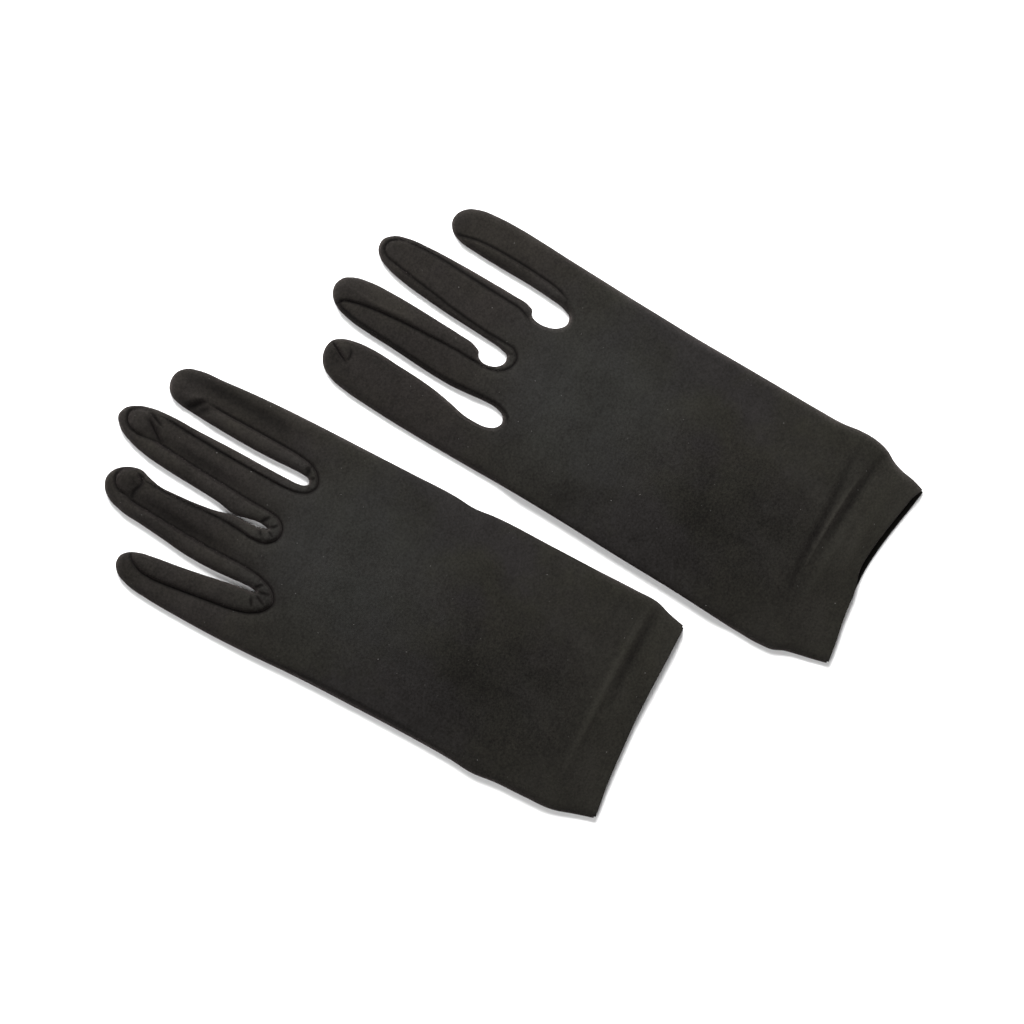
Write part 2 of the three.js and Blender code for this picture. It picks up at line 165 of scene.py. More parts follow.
RIGHT = {
    "name": "right",
    "to_index": -1,
    "shift": -2.6,
    "index_root": (-35.75, 159),
    "thumb_root": (-29, 64),
    "fingers": ("index", "middle", "ring", "little"),
    "side_a": [(-38.2, -2.9), (-39.9, 4), (-41, 9), (-42.2, 13.5), (-44, 17.5), (-44.7, 23), (-44.7, 33),
               (-44, 48), (-43.3, 62), (-42.8, 80), (-42.3, 95), (-41.7, 110), (-41.3, 125), (-41.1, 140),
               (-41.1, 155)],
    "tips": [
        [(-41, 170), (-40.7, 185), (-40.1, 198), (-39.3, 208), (-37.9, 215), (-35.3, 219.7), (-31.8, 222.1),
         (-28.2, 222.7), (-25, 221.8), (-22.6, 218.8), (-21, 213.6), (-20.3, 206), (-20.8, 195),
         (-21.3, 185), (-22.2, 177), (-23.5, 170), (-24.8, 164)],
        [(-16.4, 160), (-17, 166), (-17.6, 173), (-17.6, 181), (-17.1, 190), (-16.4, 200), (-15.9, 211),
         (-15, 220), (-13.2, 226.2), (-10.2, 230.1), (-6.2, 231.4), (-2.6, 230.2), (0, 226.4),
         (1.5, 220), (2, 210), (1.9, 200), (1.5, 190), (1.1, 181), (0.3, 173.5)],
        [(4.6, 171), (5.1, 180), (5.5, 188), (6.3, 198), (7.4, 208), (9, 216), (11.2, 221.3), (14.2, 224),
         (18, 224.2), (21.4, 221), (23.3, 215), (24.1, 207), (24.5, 195), (24.5, 181), (24.3, 170)],
        [(30, 158), (30.6, 168), (30.8, 180), (31.2, 191), (32, 198.6), (34, 202.6), (37.2, 204.7),
         (40.6, 204.5), (44, 202), (46.3, 197), (47.3, 190), (47.6, 180), (47.3, 170), (46.8, 160)],
    ],
    "crotches": [
        [(-25, 159), (-24.4, 154), (-22.6, 151), (-20.4, 150), (-18, 151), (-16.5, 154.5)],
        [(-0.9, 171.1), (-2.7, 170.2), (-3.8, 168), (-3.5, 164.5), (-1.9, 161.7), (0.6, 160.4),
         (2.9, 161.1), (3.9, 164)],
        [(23.9, 163.6), (22.9, 161.2), (20.9, 160.3), (19.9, 157.5), (20.1, 153.2), (21.7, 149.4),
         (24.6, 147.1), (27.4, 147.6), (29.1, 151)],
    ],
    "side_b": [(46.2, 145), (45.6, 130), (45.2, 117), (44.7, 100), (44.6, 85), (44.4, 65), (44.2, 48),
               (44.3, 37), (45.3, 29), (45.2, 22.5), (43.8, 17), (41.3, 12.5), (39.8, 8), (39, 3),
               (37.6, -2.2)],
    "wrist": [(37.6, -2.2), (30, -1.2), (20, 0.4), (10, 1.7), (0, 2.3), (-10, 1.7), (-20, 0.5),
              (-30, -1.5), (-38.2, -2.9)],
    "splits": [152.2, 161.8, 161.8, 149.2],
    "knuckles": [159, 167, 167, 156],
    "seams": [
        [(-23, 219.6), (-22.6, 215), (-22.2, 206), (-22.9, 190), (-24.4, 176), (-26.4, 164),
         (-26.4, 157), (-24.6, 150.8), (-20.5, 147.9), (-16.9, 149.6), (-15.2, 154), (-15.1, 160),
         (-15.7, 168), (-16.2, 178), (-15.7, 190), (-15, 200), (-14.4, 212), (-13.6, 220),
         (-11.4, 228.9)],
        [(-12.6, 227.4), (-10, 225.6), (-8.3, 221), (-6.9, 213), (-5.9, 203), (-5.2, 190), (-4.8, 178),
         (-5, 169), (-4.5, 163.2), (-2.3, 159), (1, 157.1), (4.2, 157.3), (6.4, 160), (6.8, 164.5),
         (6.8, 171), (7.4, 179), (8.3, 188), (9.6, 197), (10.8, 206), (11.9, 213.5), (12.6, 218.4),
         (12.4, 222.6)],
        [(21.8, 220.4), (21.4, 217), (22.3, 211), (22.5, 203), (22.1, 193), (21.6, 182), (21.2, 171),
         (20.7, 164.5), (18.4, 159), (18.4, 152.6), (20.3, 147.6), (24.2, 144.9), (28.4, 145.7),
         (31.6, 149.4), (34.4, 156), (35.5, 165), (36, 175), (36, 185), (35.3, 193), (34, 198.4),
         (33.2, 201.4)],
    ],
    "faint": [(0, 0, 8), (1, 20, 21), (2, 0, 1), (2, 8, 13)],
    "creases": [
        ([(12, 213.6), (12.9, 219), (15.2, 221.8), (18.2, 221.6), (20.8, 218.6), (22.2, 212.6)], 1.4, 0.5),
        ([(-4.6, 228), (-4.6, 221), (-4.9, 214), (-4.6, 207), (-4, 199)], -0.6, 0.9),
        ([(-24.2, 223), (-27, 218.4), (-30.4, 211.6)], 2.0, 0.6),
        ([(-22.4, 220.6), (-25.4, 216.4), (-28.8, 211.6)], -0.6, 1.3),
        ([(28.4, 148.4), (30.6, 150.6), (33, 152.4)], 0.6, 0.6),
        ([(-2.2, 159.4), (-1.8, 160.6), (-1.4, 161.4)], 0.4, 0.4),
        ([(4.4, 157.8), (4.1, 159.8), (3.8, 161.8)], 0.5, 0.4),
        ([(-24, 23.4), (-6, 25), (8, 25.4), (20, 26), (33, 27)], 0.9, 1.5),
        ([(-10, 22.7), (6, 22.9), (19, 22.4), (30, 21.4)], -0.9, 0.8),
        ([(-2, 20.3), (14, 19.8), (27, 19.2), (42, 17.8)], 0.9, 1.3),
        ([(-34, 15.6), (-10, 16.4), (12, 15.6), (36, 13.6)], -0.45, 1.8),
        ([(-10, 118), (0, 120), (10, 117)], 0.12, 1.5),
        ([(-36, 88), (-34, 84), (-31, 80)], 0.25, 1),
        ([(-41, 126), (-34, 116), (-25, 99)], 0.6, 5.5),
        ([(-29.4, 212.6), (-26.6, 212.6), (-23.9, 214)], 0.9, 0.5),
        ([(-27.4, 222), (-30.4, 217), (-32, 212.6)], 0.5, 2.2),
        ([(-2, 220), (-1.8, 202), (-1.2, 184)], -0.5, 2.4),
        ([(33, 198), (32.6, 190), (32.6, 180), (32.8, 168)], 0.5, 1.6),
        ([(9.6, 213), (9.2, 204), (7.6, 192), (6.2, 178)], 0.4, 1.2),
        ([(-4, 9.6), (18, 9.2), (44, 7.5)], -0.8, 5),
    ],
    "lumps": [(-31, 219, 4, 0.3)],
    "mouth": (-4, 37, 2.4),
    "hem": 19,
    "seam_dip": 0.4,
}
GLOVES = (LEFT, RIGHT)

STEP = 0.8  # spacing of points along outlines and seams
EDGE_ROWS = (0.15, 0.5, 1.0, 1.7, 2.5)  # rows of points inside the outline
SEAM_ROWS = (0.28, 0.6, 1.05, 1.7)  # rows of points on each side of a seam
FILL = 1.25  # spacing of the points between
UNDER_FILL = 2.2
SEAM_DEPTH = 0.65
SEAM_WIDTH = 0.32
STRIP_CURVE = 2.7  # over what width the back of a finger curves down to a seam
BAND_CURVE = 1.25  # and a fourchette
BAND_SWELL = 0.5  # fourchettes stand a little proud of the back
PALM_STARTS = (138, 162)  # where the palm's height fades into the fingers'
WRIST_FADE = 26
MOUTH_HEIGHT = 4.2
MOUTH_GAPE = 1.2  # how much higher the back is where the mouth stands open
CROWN = 0.45
UNEVEN = ((26, 0.16, 5), (9, 0.05, 6), (3.4, 0.018, 7))  # (size, height, seed) of the cloth's unevenness
UNDER_BAND = 3.4  # width of the fourchettes on the underside
HEM_FOLD = 0.62  # half the thickness of the folded wrist edge
THUMB_LENGTH = 62
THUMB_HEIGHT = 2.9
THUMB_TUCK = math.radians(25)
THUMB_HALF = 12.5  # half the thumb's width at its root
PALM_HOLE = (8, 11)  # half width and half length of the hole that the thumb is sewn into
THUMB_MOUTH = (7.5, 9.5)  # the same for the thumb's own opening under it
THUMB_EDGE_ROLL = 2.6
THUMB_EDGE_ROWS = (0.4, 1.0, 1.8, 2.6)
UNDER_SEAM_ROWS = (0.5,)
CREASE_ROWS = (0.0, 0.45, 0.95)  # rows of points on and beside a narrow crease
CREASE_GAP = 0.55
BAND_REACH = 12  # how far from its seam a fourchette swells
UNDER_RIDGE = 0.3  # how far a seam stands out on the underside
SEAM_SHADE_WIDTH = 0.38
HEM_SHADE = 0.12  # how much painted shade the palm's hem gets where the mouth shows it


# ---- curves and distances
def curve(points, step=STEP):
    """A smooth line through the points, in steps of about that length."""
    p = np.array(points, float)
    gap = np.linalg.norm(np.diff(p, axis=0), axis=1)
    slope = np.diff(p, axis=0) / gap[:, None]
    tangent = np.empty_like(p)
    tangent[0], tangent[-1] = slope[0], slope[-1]
    tangent[1:-1] = (slope[:-1] * gap[1:, None] + slope[1:] * gap[:-1, None]) / (gap[:-1] + gap[1:])[:, None]
    made, at = [], []
    for i, length in enumerate(gap):
        n = max(1, math.ceil(length / step))
        t = np.arange(n)[:, None] / n
        a = (2 * t**3 - 3 * t**2 + 1) * p[i] + (3 * t**2 - 2 * t**3) * p[i + 1]
        b = (t**3 - 2 * t**2 + t) * tangent[i] + (t**3 - t**2) * tangent[i + 1]
        made.append(a + b * length)
        at.append(i + t[:, 0])
    made.append(p[-1:])
    at.append(np.array([len(gap)], float))
    return np.vstack(made), np.concatenate(at)


def distance(points, line):
    """How far each point is from a line, and which of the line's segments is nearest."""
    best = np.full(len(points), 1e9)
    which = np.zeros(len(points), int)
    a, d = line[:-1], np.diff(line, axis=0)
    square = np.maximum((d**2).sum(1), 1e-12)
    for first in range(0, len(points), 4000):
        p = points[first:first + 4000, None, :] - a[None]
        t = np.clip((p * d).sum(2) / square, 0, 1)
        far = np.linalg.norm(p - t[:, :, None] * d, axis=2)
        which[first:first + 4000] = far.argmin(1)
        best[first:first + 4000] = far.min(1)
    return best, which


def inside(points, polygon):
    """Which points lie inside a closed polygon."""
    x, y = points[:, 0], points[:, 1]
    found = np.zeros(len(points), bool)
    for (ax, ay), (bx, by) in zip(polygon, np.roll(polygon, -1, 0)):
        if ay == by:
            continue
        crosses = (ay > y) != (by > y)
        found ^= crosses & (x < (bx - ax) * (y - ay) / (by - ay) + ax)
    return found


def smooth(value, low, high):
    t = np.clip((value - low) / (high - low), 0, 1)
    return t * t * (3 - 2 * t)


def beside(line, gap):
    """Points on both sides of a line at that distance."""
    middle = (line[:-1] + line[1:]) / 2
    d = np.diff(line, axis=0)
    normal = np.stack([-d[:, 1], d[:, 0]], 1) / np.linalg.norm(d, axis=1)[:, None]
    return np.vstack([middle + normal * gap, middle - normal * gap])


def noise(points, scale, seed):
    """Smooth noise in -1 to 1, the same each run."""
    rng = np.random.default_rng(seed)
    total = np.zeros(len(points))
    for _ in range(9):
        angle, phase, stretch = rng.uniform(0, 2 * np.pi), rng.uniform(0, 2 * np.pi), rng.uniform(0.6, 1.6)
        along = points[:, 0] * math.cos(angle) + points[:, 1] * math.sin(angle)
        total += np.sin(along * 2 * np.pi / (scale * stretch) + phase)
    return total / 4


def fade_to_ends(line, which):
    """How strongly each segment of a crease shows: fully at its middle, hardly at its ends."""
    return np.sin(np.pi * (0.06 + 0.88 * which / max(1, len(line) - 2)))


def shade_share(depth, width):
    """How much painted shade a crease gets for its depth, and how much painted light a ridge gets. Narrow
    creases get the most painted shade.
    """
    if width >= 2:
        return 0.35
    if width >= 1 or depth <= 0:
        return 0.5
    return 1


# ---- one glove's drawing
def joint(name):
    return next(j for j in frame["joints"] if j["name"] == name)


def drawing_frame(facts):
    """The x and y directions of a glove's drawing, and its zero on the table, from the index knuckle."""
    hinge = joint(f"{facts['name']}_index_knuckle")
    right = Vector(hinge["axis"]).normalized()
    up = Vector((-right.y, right.x, 0))
    x, y = facts["index_root"]
    zero = Vector(hinge["pos_m"]) - right * x * MM - up * y * MM
    return right, up, Vector((zero.x, zero.y, 0))


class Glove:
    """One glove's outline, seams and creases as lines, and the height of its cloth at any point."""

    def __init__(self, facts):
        self.facts = facts
        self.name = facts["name"]
        sides = list(facts["side_a"])
        for tip, crotch in zip(facts["tips"], facts["crotches"] + [facts["side_b"]]):
            sides += tip + crotch
        self.sides, _ = curve(sides)
        self.wrist, _ = curve(facts["wrist"])
        self.outline = np.vstack([self.sides[:-1], self.wrist[:-1]])
        self.seams = [self.seam(i, points) for i, points in enumerate(facts["seams"])]
        self.under_seams = [self.under_seam(i) for i in range(3)]
        self.creases = [(curve(points)[0], depth, width) for points, depth, width in facts["creases"]]
        self.right, self.up, self.zero = (np.array(v) for v in drawing_frame(facts))

    def to_row(self, xyz):
        """Points of the drawing, in millimetres, as points of the row frame, in metres."""
        return self.zero + self.turn_to_row(xyz + np.array([self.facts["shift"], 0, 0])) * MM

    def turn_to_row(self, xyz):
        return xyz @ np.array([self.right, self.up, (0, 0, 1)])

    def seam(self, number, points):
        """A seam's line, how strongly each of its segments shows, and how deep the cloth dips to it."""
        line, at = curve(points)
        strength = np.ones(len(line))
        for seam, first, last in self.facts["faint"]:
            if seam == number:
                strength *= 1 - 0.92 * smooth(at, first - 1, first) * (1 - smooth(at, last, last + 1))
        for end in (0, -1):
            line[end] = self.outline[np.linalg.norm(self.outline - line[end], axis=1).argmin()]
        room = distance(line, self.sides)[0]
        dip = self.facts["seam_dip"] * strength * np.clip((room - 1.6) / 4, 0.1, 1)
        return line, strength, np.convolve(np.pad(dip, 4, "edge"), np.ones(9) / 9, "valid")

    def tip_index(self, finger):
        tip = max(self.facts["tips"][finger], key=lambda point: point[1])
        return int(np.linalg.norm(self.sides - np.array(tip), axis=1).argmin())

    def under_seam(self, number):
        """The fourchette's other edge, a steady distance in from the outline, between two fingertips."""
        part = self.sides[self.tip_index(number):self.tip_index(number + 1) + 1]
        d = np.gradient(part, axis=0)
        normal = np.stack([d[:, 1], -d[:, 0]], 1) / np.linalg.norm(d, axis=1)[:, None]
        reach = np.cumsum(np.r_[0, np.linalg.norm(np.diff(part, axis=0), axis=1)])
        ramp = smooth(reach, 0, 9) * (1 - smooth(reach, reach[-1] - 9, reach[-1]))
        line = part + normal * (UNDER_BAND * ramp)[:, None]
        keep = [0]
        for i in range(1, len(line) - 1):
            if np.linalg.norm(line[i] - line[keep[-1]]) > 0.7 * STEP:
                keep.append(i)
        line = line[keep + [len(line) - 1]]
        for _ in range(6):
            line[1:-1] = (line[:-2] + 2 * line[1:-1] + line[2:]) / 4
        return line

    # -- heights
    def thumb_lift(self, p):
        """How far the cloth is lifted where the thumb lies under it."""
        x = (p[:, 0] + self.facts["shift"]) * self.facts["to_index"]
        along = smooth(p[:, 1], *ROOM_START) * (1 - smooth(p[:, 1], *ROOM_END))
        return THUMB_ROOM * smooth(x, *ROOM_SIDE) * along

    def rolled(self, p):
        """The share of its full height that the cloth has at each point, and the height of its edge.
        It keeps how far each point is from the outline, which calm_top and top go on to use."""
        self.from_edge, _ = distance(p, self.sides)
        share = np.clip(self.from_edge / EDGE_ROLL, 0, 1)
        return np.sqrt(1 - (1 - share) ** 2), REST + EDGE_HEIGHT + self.thumb_lift(p)

    def seam_relief(self, p, in_band):
        z = np.zeros(len(p))
        for line, strength, dip in self.seams:
            far, which = distance(p, line)
            s = strength[which]
            z -= s * SEAM_DEPTH * np.exp(-((far / SEAM_WIDTH) ** 2))
            z -= dip[which] * np.exp(-((far / np.where(in_band, BAND_CURVE, STRIP_CURVE)) ** 2))
            z += s * in_band * BAND_SWELL * (1 - np.exp(-((far / 0.9) ** 2))) * (far < BAND_REACH)
        return z

    def crease_relief(self, p):
        z = np.zeros(len(p))
        for line, depth, width in self.creases:
            far, which = distance(p, line)
            z -= depth * fade_to_ends(line, which) ** 0.7 * np.exp(-((far / width) ** 2))
        for x, y, radius, height in self.facts["lumps"]:
            far = np.hypot(p[:, 0] - x, p[:, 1] - y)
            z += height * np.exp(-((far / radius) ** 4))
        return z

    def crevices(self, p):
        """Painted shade, up to 1, in seams and creases where little light reaches, and painted light, below
        0, along ridges.
        """
        dark = np.zeros(len(p))
        light = np.zeros(len(p))
        for line, strength, _ in self.seams:
            far, which = distance(p, line)
            dark = np.maximum(dark, strength[which] * np.exp(-((far / SEAM_SHADE_WIDTH) ** 2)))
        for line, depth, width in self.creases:
            far, which = distance(p, line)
            ends = fade_to_ends(line, which)
            shade = np.clip(depth * shade_share(depth, width), -1, 1) * ends * np.exp(-((far / width) ** 2))
            dark = np.maximum(dark, shade)
            light = np.minimum(light, shade)
        return dark + light

    def mouth_share(self, x, ease=12):
        first, last, _ = self.facts["mouth"]
        return smooth(x, first - ease, first + 6) * (1 - smooth(x, last - 6, last + ease / 2))

    def drawn_back(self, p):
        """The top's points, with its wrist edge drawn back where the mouth shows from above."""
        y = p[:, 1] + self.facts["mouth"][2] * self.mouth_share(p[:, 0], 8) * (1 - smooth(p[:, 1], 2, 12))
        return np.column_stack([p[:, 0], y])

    def calm_top(self, p):
        """The top's height without its seams and creases."""
        share, edge = self.rolled(p)
        y = p[:, 1]
        full = PALM_HEIGHT + (FINGER_HEIGHT - PALM_HEIGHT) * smooth(y, *PALM_STARTS)
        lower = PALM_HEIGHT - MOUTH_HEIGHT - MOUTH_GAPE * self.mouth_share(p[:, 0])
        full = full - lower * (1 - smooth(y, 2, WRIST_FADE))
        full = full + CROWN * (1 - np.exp(-self.from_edge / 5)) + THUMB_SWELL * self.thumb_lift(p)
        z = edge + (REST + full - edge) * share
        calm = smooth(self.from_edge, 0.2, 4)
        return z + calm * sum(height * noise(p, size, seed) for size, height, seed in UNEVEN)

    def top(self, p, in_band):
        z = self.calm_top(p)
        at_edge = np.minimum(1, 0.3 + self.from_edge / EDGE_ROLL)
        return z + self.seam_relief(p, in_band) + self.crease_relief(p) * at_edge

    def bottom(self, p):
        share, edge = self.rolled(p)
        z = edge + (REST + self.thumb_lift(p) - edge) * share
        for line in self.under_seams:
            z += UNDER_RIDGE * np.exp(-((distance(p, line)[0] / 0.5) ** 2)) * share
        return z

    # -- triangles
    def split_ends(self, finger):
        """The two points of the outline where a finger is parted from the palm."""
        y = self.sides[:, 1] - self.facts["splits"][finger]
        crossing = np.nonzero(y[:-1] * y[1:] <= 0)[0]
        tip = self.tip_index(finger)
        return int(crossing[crossing < tip][-1]), int(crossing[crossing >= tip][0]) + 1

    def split(self, finger):
        a, b = (self.sides[i] for i in self.split_ends(finger))
        t = np.linspace(0, 1, max(3, round(abs(b[0] - a[0]) / FILL)))[:, None]
        return a + (b - a) * t

    def regions(self, centres, lines):
        """For each point, its finger (4 is the palm) and its fourchette (3 is none)."""
        finger = np.full(len(centres), 4)
        for i in range(4):
            first, last = self.split_ends(i)
            finger[inside(centres, self.sides[first:last + 1])] = i
        band = np.full(len(centres), 3)
        for i, line in enumerate(lines):
            ends = [int(np.linalg.norm(self.sides - line[e], axis=1).argmin()) for e in (0, -1)]
            loop = np.vstack([line, self.sides[min(ends):max(ends) + 1][::-1]])
            band[inside(centres, loop)] = i
        return finger, band


def triangulate(outline, lines, holes, fill, edge_rows, seam_rows, loose=(), folds=()):
    """Points and triangles inside an outline, with edges along the outline, the lines and the holes.
    The folds are lines that are given more points, but no edges."""
    points, edges, n = [outline], [], len(outline)
    edges += [(i, (i + 1) % n) for i in range(n)]
    count = n
    for line in [*lines, *loose]:
        first, last = (int(np.linalg.norm(outline - line[end], axis=1).argmin()) for end in (0, -1))
        ids = [first, *range(count, count + len(line) - 2), last]
        points.append(line[1:-1])
        edges += list(zip(ids[:-1], ids[1:]))
        count += len(line) - 2
    for hole in holes:
        ids = list(range(count, count + len(hole)))
        points.append(hole)
        edges += list(zip(ids, ids[1:] + ids[:1]))
        count += len(hole)
    ring = np.vstack([outline, outline[:1]])
    narrow = [*lines, *(np.vstack([hole, hole[:1]]) for hole in holes)]
    rows = [(beside(ring, gap), gap) for gap in edge_rows]
    rows += [(beside(line, gap), gap) for line in narrow for gap in seam_rows]
    rows += [(beside(line, gap), CREASE_GAP) for line in folds for gap in CREASE_ROWS]
    low, high = outline.min(0), outline.max(0)
    x, y = np.meshgrid(np.arange(low[0], high[0], fill), np.arange(low[1], high[1], fill * 0.866))
    x[1::2] += fill / 2
    rows.append((np.stack([x.ravel(), y.ravel()], 1), fill))
    kept = Thinner(np.vstack(points))
    for row, gap in rows:
        row = row[inside(row, outline)]
        limit = 0.78 * gap if gap < fill else 0.62 * fill
        clear = np.min([distance(row, line)[0] for line in (ring, *narrow, *loose)], axis=0)
        kept.add(row[clear > limit], min(limit, 0.5) if gap < fill else limit)
    made = delaunay_2d_cdt([Vector(q) for q in kept.points()], edges, [], 0, 1e-6, False)
    p, tri = np.array(made[0], float), np.array(made[2], int)
    centre = p[tri].mean(1)
    keep = inside(centre, outline)
    for hole in holes:
        keep &= ~inside(centre, hole)
    tri = tri[keep]
    a, b, c = (p[tri[:, i]] for i in range(3))
    turn = (b[:, 0] - a[:, 0]) * (c[:, 1] - a[:, 1]) - (b[:, 1] - a[:, 1]) * (c[:, 0] - a[:, 0])
    tri[turn < 0] = tri[turn < 0][:, ::-1]
    return p, tri


class Thinner:
    """Keeps points that aren't too near one that is kept already."""
    CELL = 0.5

    def __init__(self, fixed):
        self.kept = [fixed]
        self.grid = {}
        for q in fixed:
            self.grid.setdefault(self.cell(*q), []).append(tuple(q))

    def cell(self, x, y):
        return int(x // self.CELL), int(y // self.CELL)

    def is_clear(self, x, y, gap):
        i, j = self.cell(x, y)
        reach = math.ceil(gap / self.CELL)
        for di in range(-reach, reach + 1):
            for dj in range(-reach, reach + 1):
                for qx, qy in self.grid.get((i + di, j + dj), ()):
                    if (x - qx) ** 2 + (y - qy) ** 2 < gap * gap:
                        return False
        return True

    def add(self, points, gap):
        new = []
        for x, y in points:
            if self.is_clear(x, y, gap):
                self.grid.setdefault(self.cell(x, y), []).append((x, y))
                new.append((x, y))
        if new:
            self.kept.append(np.array(new))

    def points(self):
        return np.vstack(self.kept)


# ---- cloth with a thickness
def normals_of(xyz, tri):
    a, b, c = (xyz[tri[:, i]] for i in range(3))
    face = np.cross(b - a, c - a)
    total = np.zeros_like(xyz)
    for i in range(3):
        np.add.at(total, tri[:, i], face)
    return total / np.maximum(np.linalg.norm(total, axis=1), 1e-12)[:, None]


def area_of(xyz, tri):
    a, b, c = (xyz[tri[:, i]] for i in range(3))
    return 0.5 * np.linalg.norm(np.cross(b - a, c - a), axis=1).sum()


class Surface:
    """A glove's surface of points and triangles, and what each point and triangle knows of itself."""

    def __init__(self, glove, outer, calm, drawn, crevice, tri, place):
        self.glove = glove
        self.outer, self.drawn, self.crevice, self.tri = outer, drawn, crevice, tri
        self.normal = normals_of(outer, tri)
        self.inward = -normals_of(calm, tri)
        self.inner = outer + self.inward * CLOTH
        self.place = place


def link(name, data):
    """A new object in the scene."""
    made = bpy.data.objects.new(name, data)
    bpy.context.scene.collection.objects.link(made)
    return made


def mesh_piece(name, points, faces, drawn, crevice, material):
    """A smooth object. Its points know their place in the drawing and the painted shade they carry, which is
    painted light where it is below zero.
    """
    mesh = bpy.data.meshes.new(name)
    mesh.from_pydata(points.tolist(), [], faces)
    mesh.shade_smooth()
    for key, kind, field, values in (
        ("drawn", "FLOAT_VECTOR", "vector", drawn),
        ("crevice", "FLOAT", "value", crevice),
    ):
        attribute = mesh.attributes.new(key, kind, "POINT")
        attribute.data.foreach_set(field, values.astype(np.float32).ravel())
    mesh.materials.append(material)
    return link(name, mesh)


def cloth(name, surface, chosen, material):
    """The chosen triangles of a surface as a closed piece of cloth, with its area in square metres."""
    tri = surface.tri[chosen]
    used, small = np.unique(tri, return_inverse=True)
    small = small.reshape(-1, 3)
    n = len(used)
    sides = np.vstack([small[:, [0, 1]], small[:, [1, 2]], small[:, [2, 0]]])
    _, first, times = np.unique(np.sort(sides, axis=1), axis=0, return_index=True, return_counts=True)
    rim = sides[first[times == 1]]
    faces = [tuple(t) for t in small.tolist()]
    faces += [(c + n, b + n, a + n) for a, b, c in small.tolist()]
    faces += [(b, a, a + n, b + n) for a, b in rim.tolist()]
    points = surface.glove.to_row(np.vstack([surface.outer[used], surface.inner[used]]))
    drawn = np.vstack([surface.drawn[used]] * 2)
    crevice = np.concatenate([surface.crevice[used]] * 2)
    piece = mesh_piece(name, points, faces, drawn, crevice, material)
    turn = surface.glove.turn_to_row(np.vstack([surface.normal[used], surface.inward[used]]))
    piece.data.normals_split_custom_set_from_vertices(turn.tolist())
    return piece, area_of(surface.outer, tri) * MM * MM


def joined(top, top_tri, low, low_tri, shared):
    """The triangles of a top and an underside that share their first points, and which are on top."""
    number = np.arange(len(low)) + len(top) - shared
    number[:shared] = np.arange(shared)
    tri = np.vstack([top_tri, number[low_tri][:, ::-1]])
    return tri, np.arange(len(tri)) < len(top_tri)


def glove_surface(glove):
    """The whole surface of a glove. Its top and underside share their points all round but at the mouth."""
    splits = [glove.split(i) for i in range(4)]
    seams = [line for line, _, _ in glove.seams]
    folds = [line for line, _, width in glove.creases if width < 1]
    top, top_tri = triangulate(glove.outline, seams, [], FILL, EDGE_ROWS, SEAM_ROWS, splits, folds)
    hole = thumb_hole(glove)
    low, low_tri = triangulate(
        glove.outline, glove.under_seams, [hole], UNDER_FILL, EDGE_ROWS, UNDER_SEAM_ROWS, splits,
    )
    _, top_band = glove.regions(top, seams)
    top_z = glove.top(top, top_band < 3)
    top_calm = glove.calm_top(top)
    low_z = glove.bottom(low)
    top_xyz = np.column_stack([glove.drawn_back(top), top_z])
    calm_xyz = np.column_stack([glove.drawn_back(top), top_calm])
    low_xyz = np.column_stack([low, low_z])
    shared = len(glove.sides)
    tri, is_top = joined(top, top_tri, low, low_tri, shared)
    outer = np.vstack([top_xyz, low_xyz[shared:]])
    calm = np.vstack([calm_xyz, low_xyz[shared:]])
    drawn = np.vstack([np.column_stack([top, top_calm]), low_xyz[shared:]]) * MM
    crevice = np.concatenate([glove.crevices(top), np.zeros(len(low) - shared)])
    finger, band = (np.concatenate(pair) for pair in zip(
        glove.regions(top[top_tri].mean(1), seams),
        glove.regions(low[low_tri].mean(1), glove.under_seams),
    ))
    place = {"finger": finger, "band": band, "top": is_top}
    return Surface(glove, outer, calm, drawn, crevice, tri, place)


def thumb_hole(glove):
    """Where the thumb is sewn into the palm."""
    x, y = glove.facts["thumb_root"]
    turn = np.arange(0, 2 * np.pi, 0.1)
    wide, long = PALM_HOLE
    return np.column_stack([x - glove.facts["shift"] + wide * np.cos(turn), y + long * np.sin(turn)])


def wrist_hem(glove, is_top):
    """The folded wrist edge and the layer that is turned up inside it, as a grid of points."""
    depth = glove.facts["hem"]
    line = glove.wrist[1:-1]
    turn = np.linspace(-90, 90, 9) * np.pi / 180
    fold = [(-HEM_FOLD * math.cos(a), HEM_FOLD * (1 + math.sin(a))) for a in turn]
    runs = np.linspace(0.8, depth, 10)
    layer = [(v, 2 * HEM_FOLD) for v in runs] + [(v, HEM_FOLD) for v in runs[::-1]]
    profile = fold + layer + [(0.35, HEM_FOLD)]
    made = []
    for v, d in profile:
        p = line + np.array([0, max(v, 0)])
        top, low = glove.top(p, 0.0), glove.bottom(p)
        d = d * np.clip((top - low - 0.2) / 3, 0.02, 1)
        z = top - d if is_top else low + d
        at = glove.drawn_back(p) if is_top else p
        made.append(np.column_stack([at[:, 0], at[:, 1] + min(v, 0), z]))
    return np.array(made)


def tube_from(name, glove, rings, material, dark):
    """A closed piece through rings of points, rings[i][j] being point j of ring i, with flat ends."""
    across, along, _ = rings.shape
    points = rings.transpose(1, 0, 2).reshape(-1, 3)
    faces = []
    for j in range(along - 1):
        for i in range(across):
            k = (i + 1) % across
            faces.append((j * across + i, j * across + k, (j + 1) * across + k, (j + 1) * across + i))
    faces.append(tuple(range(across))[::-1])
    faces.append(tuple((along - 1) * across + i for i in range(across)))
    # Painted shade on the hem where the mouth shows it, as much as dark says.
    crevice = dark * glove.mouth_share(points[:, 0])
    piece = mesh_piece(name, glove.to_row(points), faces, points * MM, crevice, material)
    work = bmesh.new()
    work.from_mesh(piece.data)
    bmesh.ops.recalc_face_normals(work, faces=work.faces)
    work.to_mesh(piece.data)
    area = sum(face.calc_area() for face in work.faces) / 2
    work.free()
    return piece, area


